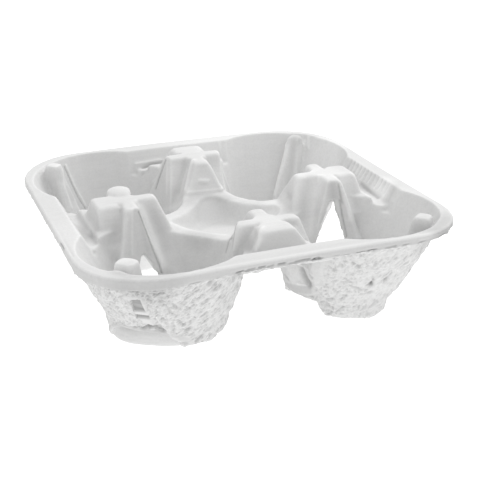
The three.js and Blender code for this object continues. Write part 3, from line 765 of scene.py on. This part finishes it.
# The sheet, with soft edges. Its posts, dome and well come before its normals are read.
mesh = closed_copy(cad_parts["tray"])
points, edges = read(mesh)
net = Net(edges, len(points))
rim_at = rim_distance(points)
crisp = smooth(*CRISP, rim_at)
points = net.soften(points, ROUNDS_ALL_OVER)
rounder = net.soften(points, ROUNDS_INSIDE)
points = points * crisp[:, None] + rounder * (1 - crisp[:, None])
lift_posts(points, edges, smooth(-0.1, 0.1, net.upward(normals_of(mesh))))
raise_dome(points, edges)
melt_crest(points, edges)
write(mesh, points)
normals = normals_of(mesh)

# What is read before the bends: the height, and how far each point stands out of its surroundings.
z = points[:, 2].copy()
bend = ((points - net.soften(points, ROUNDS_BEND)) * normals).sum(1)
under = smooth(-0.02, -0.12, net.upward(normals))
inner = 1 - under
grow_walls(points, z, under)
warp_sheet(points, z)
base = points.copy()

tone = np.ones(len(points))
# Painted highlights on edges that stand out, and painted shade in hollows.
tone += TONES["edge"] * np.clip(bend / FULL_BEND, 0.0, 1.0) * np.maximum(inner, crisp)
tone += TONES["hollow"] * np.clip(-bend / FULL_BEND, 0.0, 1.0) * inner

# The lip, whose outer face is smooth and has painted shade on it, picked by which way it faces.
corner = smooth(*LIP["corner"], -(base[:, 0] + base[:, 1]) * HALF_ROOT)
outer = smooth(*LIP["outer"], rim_at)
points[:, 2] -= LIP["drop"] * corner * outer * smooth(*LIP["hangs"], z)
lip_face = outer * smooth(*LIP["face"], z) * smooth(*LIP["upright"], abs(normals[:, 2]))

# Places that stay smooth on the coarse side.
foot = smooth_foot(base, z)
cells, slit_frame = slit_masks(base, z)
patch = under * inside(base[:, 1], z, PATCH, 0.7)
patch *= (base[:, 0] > PATCH_X[0]) & (base[:, 0] < PATCH_X[1])
groove = under * smooth(*GROOVE["to_x"], base[:, 0]) * smooth(*GROOVE["y"], base[:, 1])
groove *= base[:, 0] > GROOVE["from_x"]
glow = under * np.maximum(*(spot(base, centre, radius) for centre, radius in GLOWS))
bare = under * foot + patch + slit_frame + GROOVE["calmer"] * groove + glow
walls = under * (1 - np.clip(bare, 0.0, 1.0)) * (1 - LIP["calmer"] * lip_face)

# The relief: fibres, lumps and pits on the coarse side, next to none on the smooth one.
axes = fibre_axes()
along, across, deep = (base @ axis for axis in axes)
wave = noise_of("wave", base) * FIBRE_WAVE
by_fibre = np.stack([along, across + wave, deep + wave], 1)
fibre = noise_of("fibre", by_fibre)
pits = smooth(0.25, 0.6, noise_of("pits", by_fibre))
rough = (
    ROUGH["fibre"] * fibre
    + ROUGH["lumps"] * lumpy_noise_of("lumps", base)
    + ROUGH["fine"] * noise_of("fine", base)
    + ROUGH["pits"] * pits
)
rough *= walls * (1 + ROUGHER_AT_LEFT * smooth(0.0, -20.0, base[:, 0]))
calm = inner * CALM * lumpy_noise_of("calm", base)
points += normals * (rough + calm - CELL_DEPTH * cells)[:, None]

# The tone of each place, with lines that lie level where the foot and the cells were pressed.
unbent = np.stack([base[:, 0], base[:, 1], z], 1)
lines = noise_of("lines", unbent)
# Painted shade in the pits and in the valleys between the fibres.
valley_shade = np.clip(-fibre, 0.0, 1.0)
tone += walls * (TONES["walls"] + TONES["pits"] * pits + TONES["valley_shade"] * valley_shade)
# Painted light through the left tower's opening, and painted shade on the lip's outer face.
tone += TONES["glow"] * glow + TONES["lip"] * lip_face + TONES["patch"] * patch
# Painted shade under the arch, darker towards the foot's top.
arch_shade = smooth(4.0, 12.0, z)
foot_tone = TONES["foot"] + TONES["arch_shade"] * arch_shade + TONES["foot_lines"] * lines
tone += under * foot * foot_tone
# Painted shade in the slit's cells.
tone += cells * (TONES["cells"] + TONES["cell_lines"] * lines)
# A painted highlight on the back left post's top, where it faces up.
facing_up = smooth(0.6, 0.9, normals[:, 2])
tone += TONES["post"] * inner * spot(base, *POST_TOP_HIGHLIGHT) * facing_up
# Broad painted light and shade.
for centre, radius, change in PAINTED_LIGHT_AND_SHADE:
    tone += change * spot(base, centre, radius)
# Faint lines along the rim and the towers' tops.
tone += TONES["brushed"] * inner * noise_of("brushed", unbent)

# Painted shade in the ragged gap under the lip.
gap = outer * smooth(1.2, 0.3, abs(z - (GAP["level"] - GAP["lower_at_corner"] * corner)))
torn = smooth(-0.1, 0.35, noise_of("torn", unbent))
torn *= 1 - GAP["closed"] * smooth(*GAP["left"], base[:, 0]) * (1 - corner)
points -= normals * (GAP["depth"] * gap * torn)[:, None]
tone += gap * (TONES["gap"] + TONES["torn_gap_shade"] * torn)

# Each mark dents or raises the surface and paints shade or light on it.
marked = (
    (OUTSIDE_MARKS, under * (1 - cells)),
    (LIP_MARKS, np.maximum(under, outer)),
    (INSIDE_MARKS, inner),
)
for marks, share in marked:
    for width, depth, shade, path in marks:
        mark = near(base, normals, path, width) * share
        points -= normals * (depth * mark)[:, None]
        tone += shade * mark
points[:, 2] = np.maximum(points[:, 2], LOWEST)
write(mesh, points)

piece = bpy.data.objects.new("tray_pulp", mesh)
bpy.context.scene.collection.objects.link(piece)
mesh.materials.clear()
coarse = walls * (1 - LESS_GRAIN_AT_RIGHT * smooth(0.0, 20.0, base[:, 0]))
for name, values in (("tone", np.clip(tone, *TONE_RANGE)), ("coarse", coarse)):
    layer = mesh.attributes.new(name, "FLOAT", "POINT")
    layer.data.foreach_set("value", values.astype(np.float32))
mesh.polygons.foreach_set("use_smooth", np.ones(len(mesh.polygons), bool))


def pulp():
    """White pulp: flecks all over, and dark fibres and crumbs on the coarse side."""
    made = bpy.data.materials.new("pulp_white")
    made.use_nodes = True
    nodes, links = made.node_tree.nodes, made.node_tree.links
    shader = nodes["Principled BSDF"]
    shader.inputs["Roughness"].default_value = PULP_ROUGHNESS
    shader.inputs["Specular IOR Level"].default_value = PULP_SPECULAR

    def put(kind, inputs=(), **settings):
        """A node with its settings, its inputs linked or given as values."""
        node = nodes.new(kind)
        for key, value in settings.items():
            setattr(node, key, value)
        for key, value in inputs:
            if isinstance(value, bpy.types.NodeSocket):
                links.new(value, node.inputs[key])
            else:
                node.inputs[key].default_value = value
        return node

    def speckle(vector, scale, detail):
        settings = [("Vector", vector), ("Scale", scale), ("Detail", detail)]
        return put("ShaderNodeTexNoise", settings).outputs["Fac"]

    def ramp(source, low, high, at_low, at_high):
        node = put("ShaderNodeMapRange", [("Value", source), ("From Min", low), ("From Max", high)])
        node.inputs["To Min"].default_value = at_low
        node.inputs["To Max"].default_value = at_high
        return node.outputs["Result"]

    def math_of(kind, a, b):
        return put("ShaderNodeMath", [(0, a), (1, b)], operation=kind).outputs["Value"]

    place = put("ShaderNodeTexCoord").outputs["Object"]
    coarse_side = put("ShaderNodeAttribute", attribute_name="coarse").outputs["Fac"]
    tone_of = put("ShaderNodeAttribute", attribute_name="tone").outputs["Fac"]
    turned = put("ShaderNodeMapping", [("Vector", place)], vector_type="TEXTURE")
    turned.inputs["Rotation"].default_value = Matrix(axes).transposed().to_euler()
    turned.inputs["Scale"].default_value = FIBRE_SIZE
    flecks = speckle(place, FLECK_SCALE, 4.0)
    fibres = speckle(turned.outputs["Vector"], 1.0, 3.0)
    crumbs = speckle(place, CRUMB_SCALE, 3.0)

    dark_fibre = ramp(fibres, 0.36, 0.47, FIBRE_DARK, 0.0)
    dark_crumb = ramp(crumbs, 0.34, 0.45, CRUMB_DARK, 0.0)
    dark = math_of("MULTIPLY", math_of("ADD", dark_fibre, dark_crumb), coarse_side)
    grain = ramp(flecks, 0.3, 0.62, FLECK_LEVEL, 1.0)
    light = math_of("MULTIPLY", math_of("SUBTRACT", 1.0, dark), grain)
    # The tone attribute brings its painted light and shade into the colour.
    level = math_of("MULTIPLY", light, tone_of)
    colour = put("ShaderNodeVectorMath", [(0, PULP_COLOUR), ("Scale", level)], operation="SCALE")
    links.new(colour.outputs["Vector"], shader.inputs["Base Color"])

    rise = math_of("ADD", fibres, math_of("MULTIPLY", crumbs, 0.6))
    coarse_rise = math_of("MULTIPLY", rise, coarse_side)
    height = math_of("ADD", coarse_rise, math_of("MULTIPLY", flecks, 0.12))
    relief = [("Height", height), ("Strength", BUMP_STRENGTH), ("Distance", BUMP_DISTANCE)]
    bump = put("ShaderNodeBump", relief)
    links.new(bump.outputs["Normal"], shader.inputs["Normal"])
    return made


mesh.materials.append(pulp())
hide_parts("tray")
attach(piece, "root")


def floor():
    """A wide white floor under the tray."""
    half = FLOOR_HALF
    corners = [(-half, -half, 0), (half, -half, 0), (half, half, 0), (-half, half, 0)]
    made = bpy.data.meshes.new("floor")
    made.from_pydata(corners, [], [(0, 1, 2, 3)])
    out = bpy.data.objects.new("floor", made)
    bpy.context.scene.collection.objects.link(out)
    paint = bpy.data.materials.new("floor_white")
    paint.use_nodes = True
    shader = paint.node_tree.nodes["Principled BSDF"]
    shader.inputs["Base Color"].default_value = (FLOOR_GREY, FLOOR_GREY, FLOOR_GREY, 1.0)
    shader.inputs["Emission Color"].default_value = (1.0, 1.0, 1.0, 1.0)
    shader.inputs["Emission Strength"].default_value = FLOOR_GLOW
    shader.inputs["Roughness"].default_value = 1.0
    shader.inputs["Specular IOR Level"].default_value = 0.0
    made.materials.append(paint)
    out.location.z = FLOOR_LEVEL


def soft_light(name, place, target, size, power):
    """A square area light, turned towards its target."""
    data = bpy.data.lights.new(name, "AREA")
    data.shape = "SQUARE"
    data.size = size
    data.energy = power
    out = bpy.data.objects.new(name, data)
    out.location = place
    out.rotation_euler = (Vector(target) - Vector(place)).to_track_quat("-Z", "Y").to_euler()
    bpy.context.scene.collection.objects.link(out)


floor()
scene = bpy.context.scene
scene.view_settings.view_transform = "Standard"
world = bpy.data.worlds.new("studio")
world.use_nodes = True
world.node_tree.nodes["Background"].inputs["Color"].default_value = (1.0, 1.0, 1.0, 1.0)
world.node_tree.nodes["Background"].inputs["Strength"].default_value = WORLD_STRENGTH
scene.world = world
soft_light("key", **LIGHT)

lens = bpy.data.cameras.new("camera")
lens.sensor_width = SENSOR
lens.lens = LENS
camera = bpy.data.objects.new("camera", lens)
scene.collection.objects.link(camera)
camera.matrix_world = (
    Matrix.Translation(CAMERA["place"])
    @ Matrix.Rotation(math.radians(CAMERA["turn"]), 4, "Z")
    @ Matrix.Rotation(math.radians(90.0 - CAMERA["down"]), 4, "X")
    @ Matrix.Rotation(math.radians(CAMERA["roll"]), 4, "Z")
)
scene.camera = camera

bpy.context.view_layer.update()
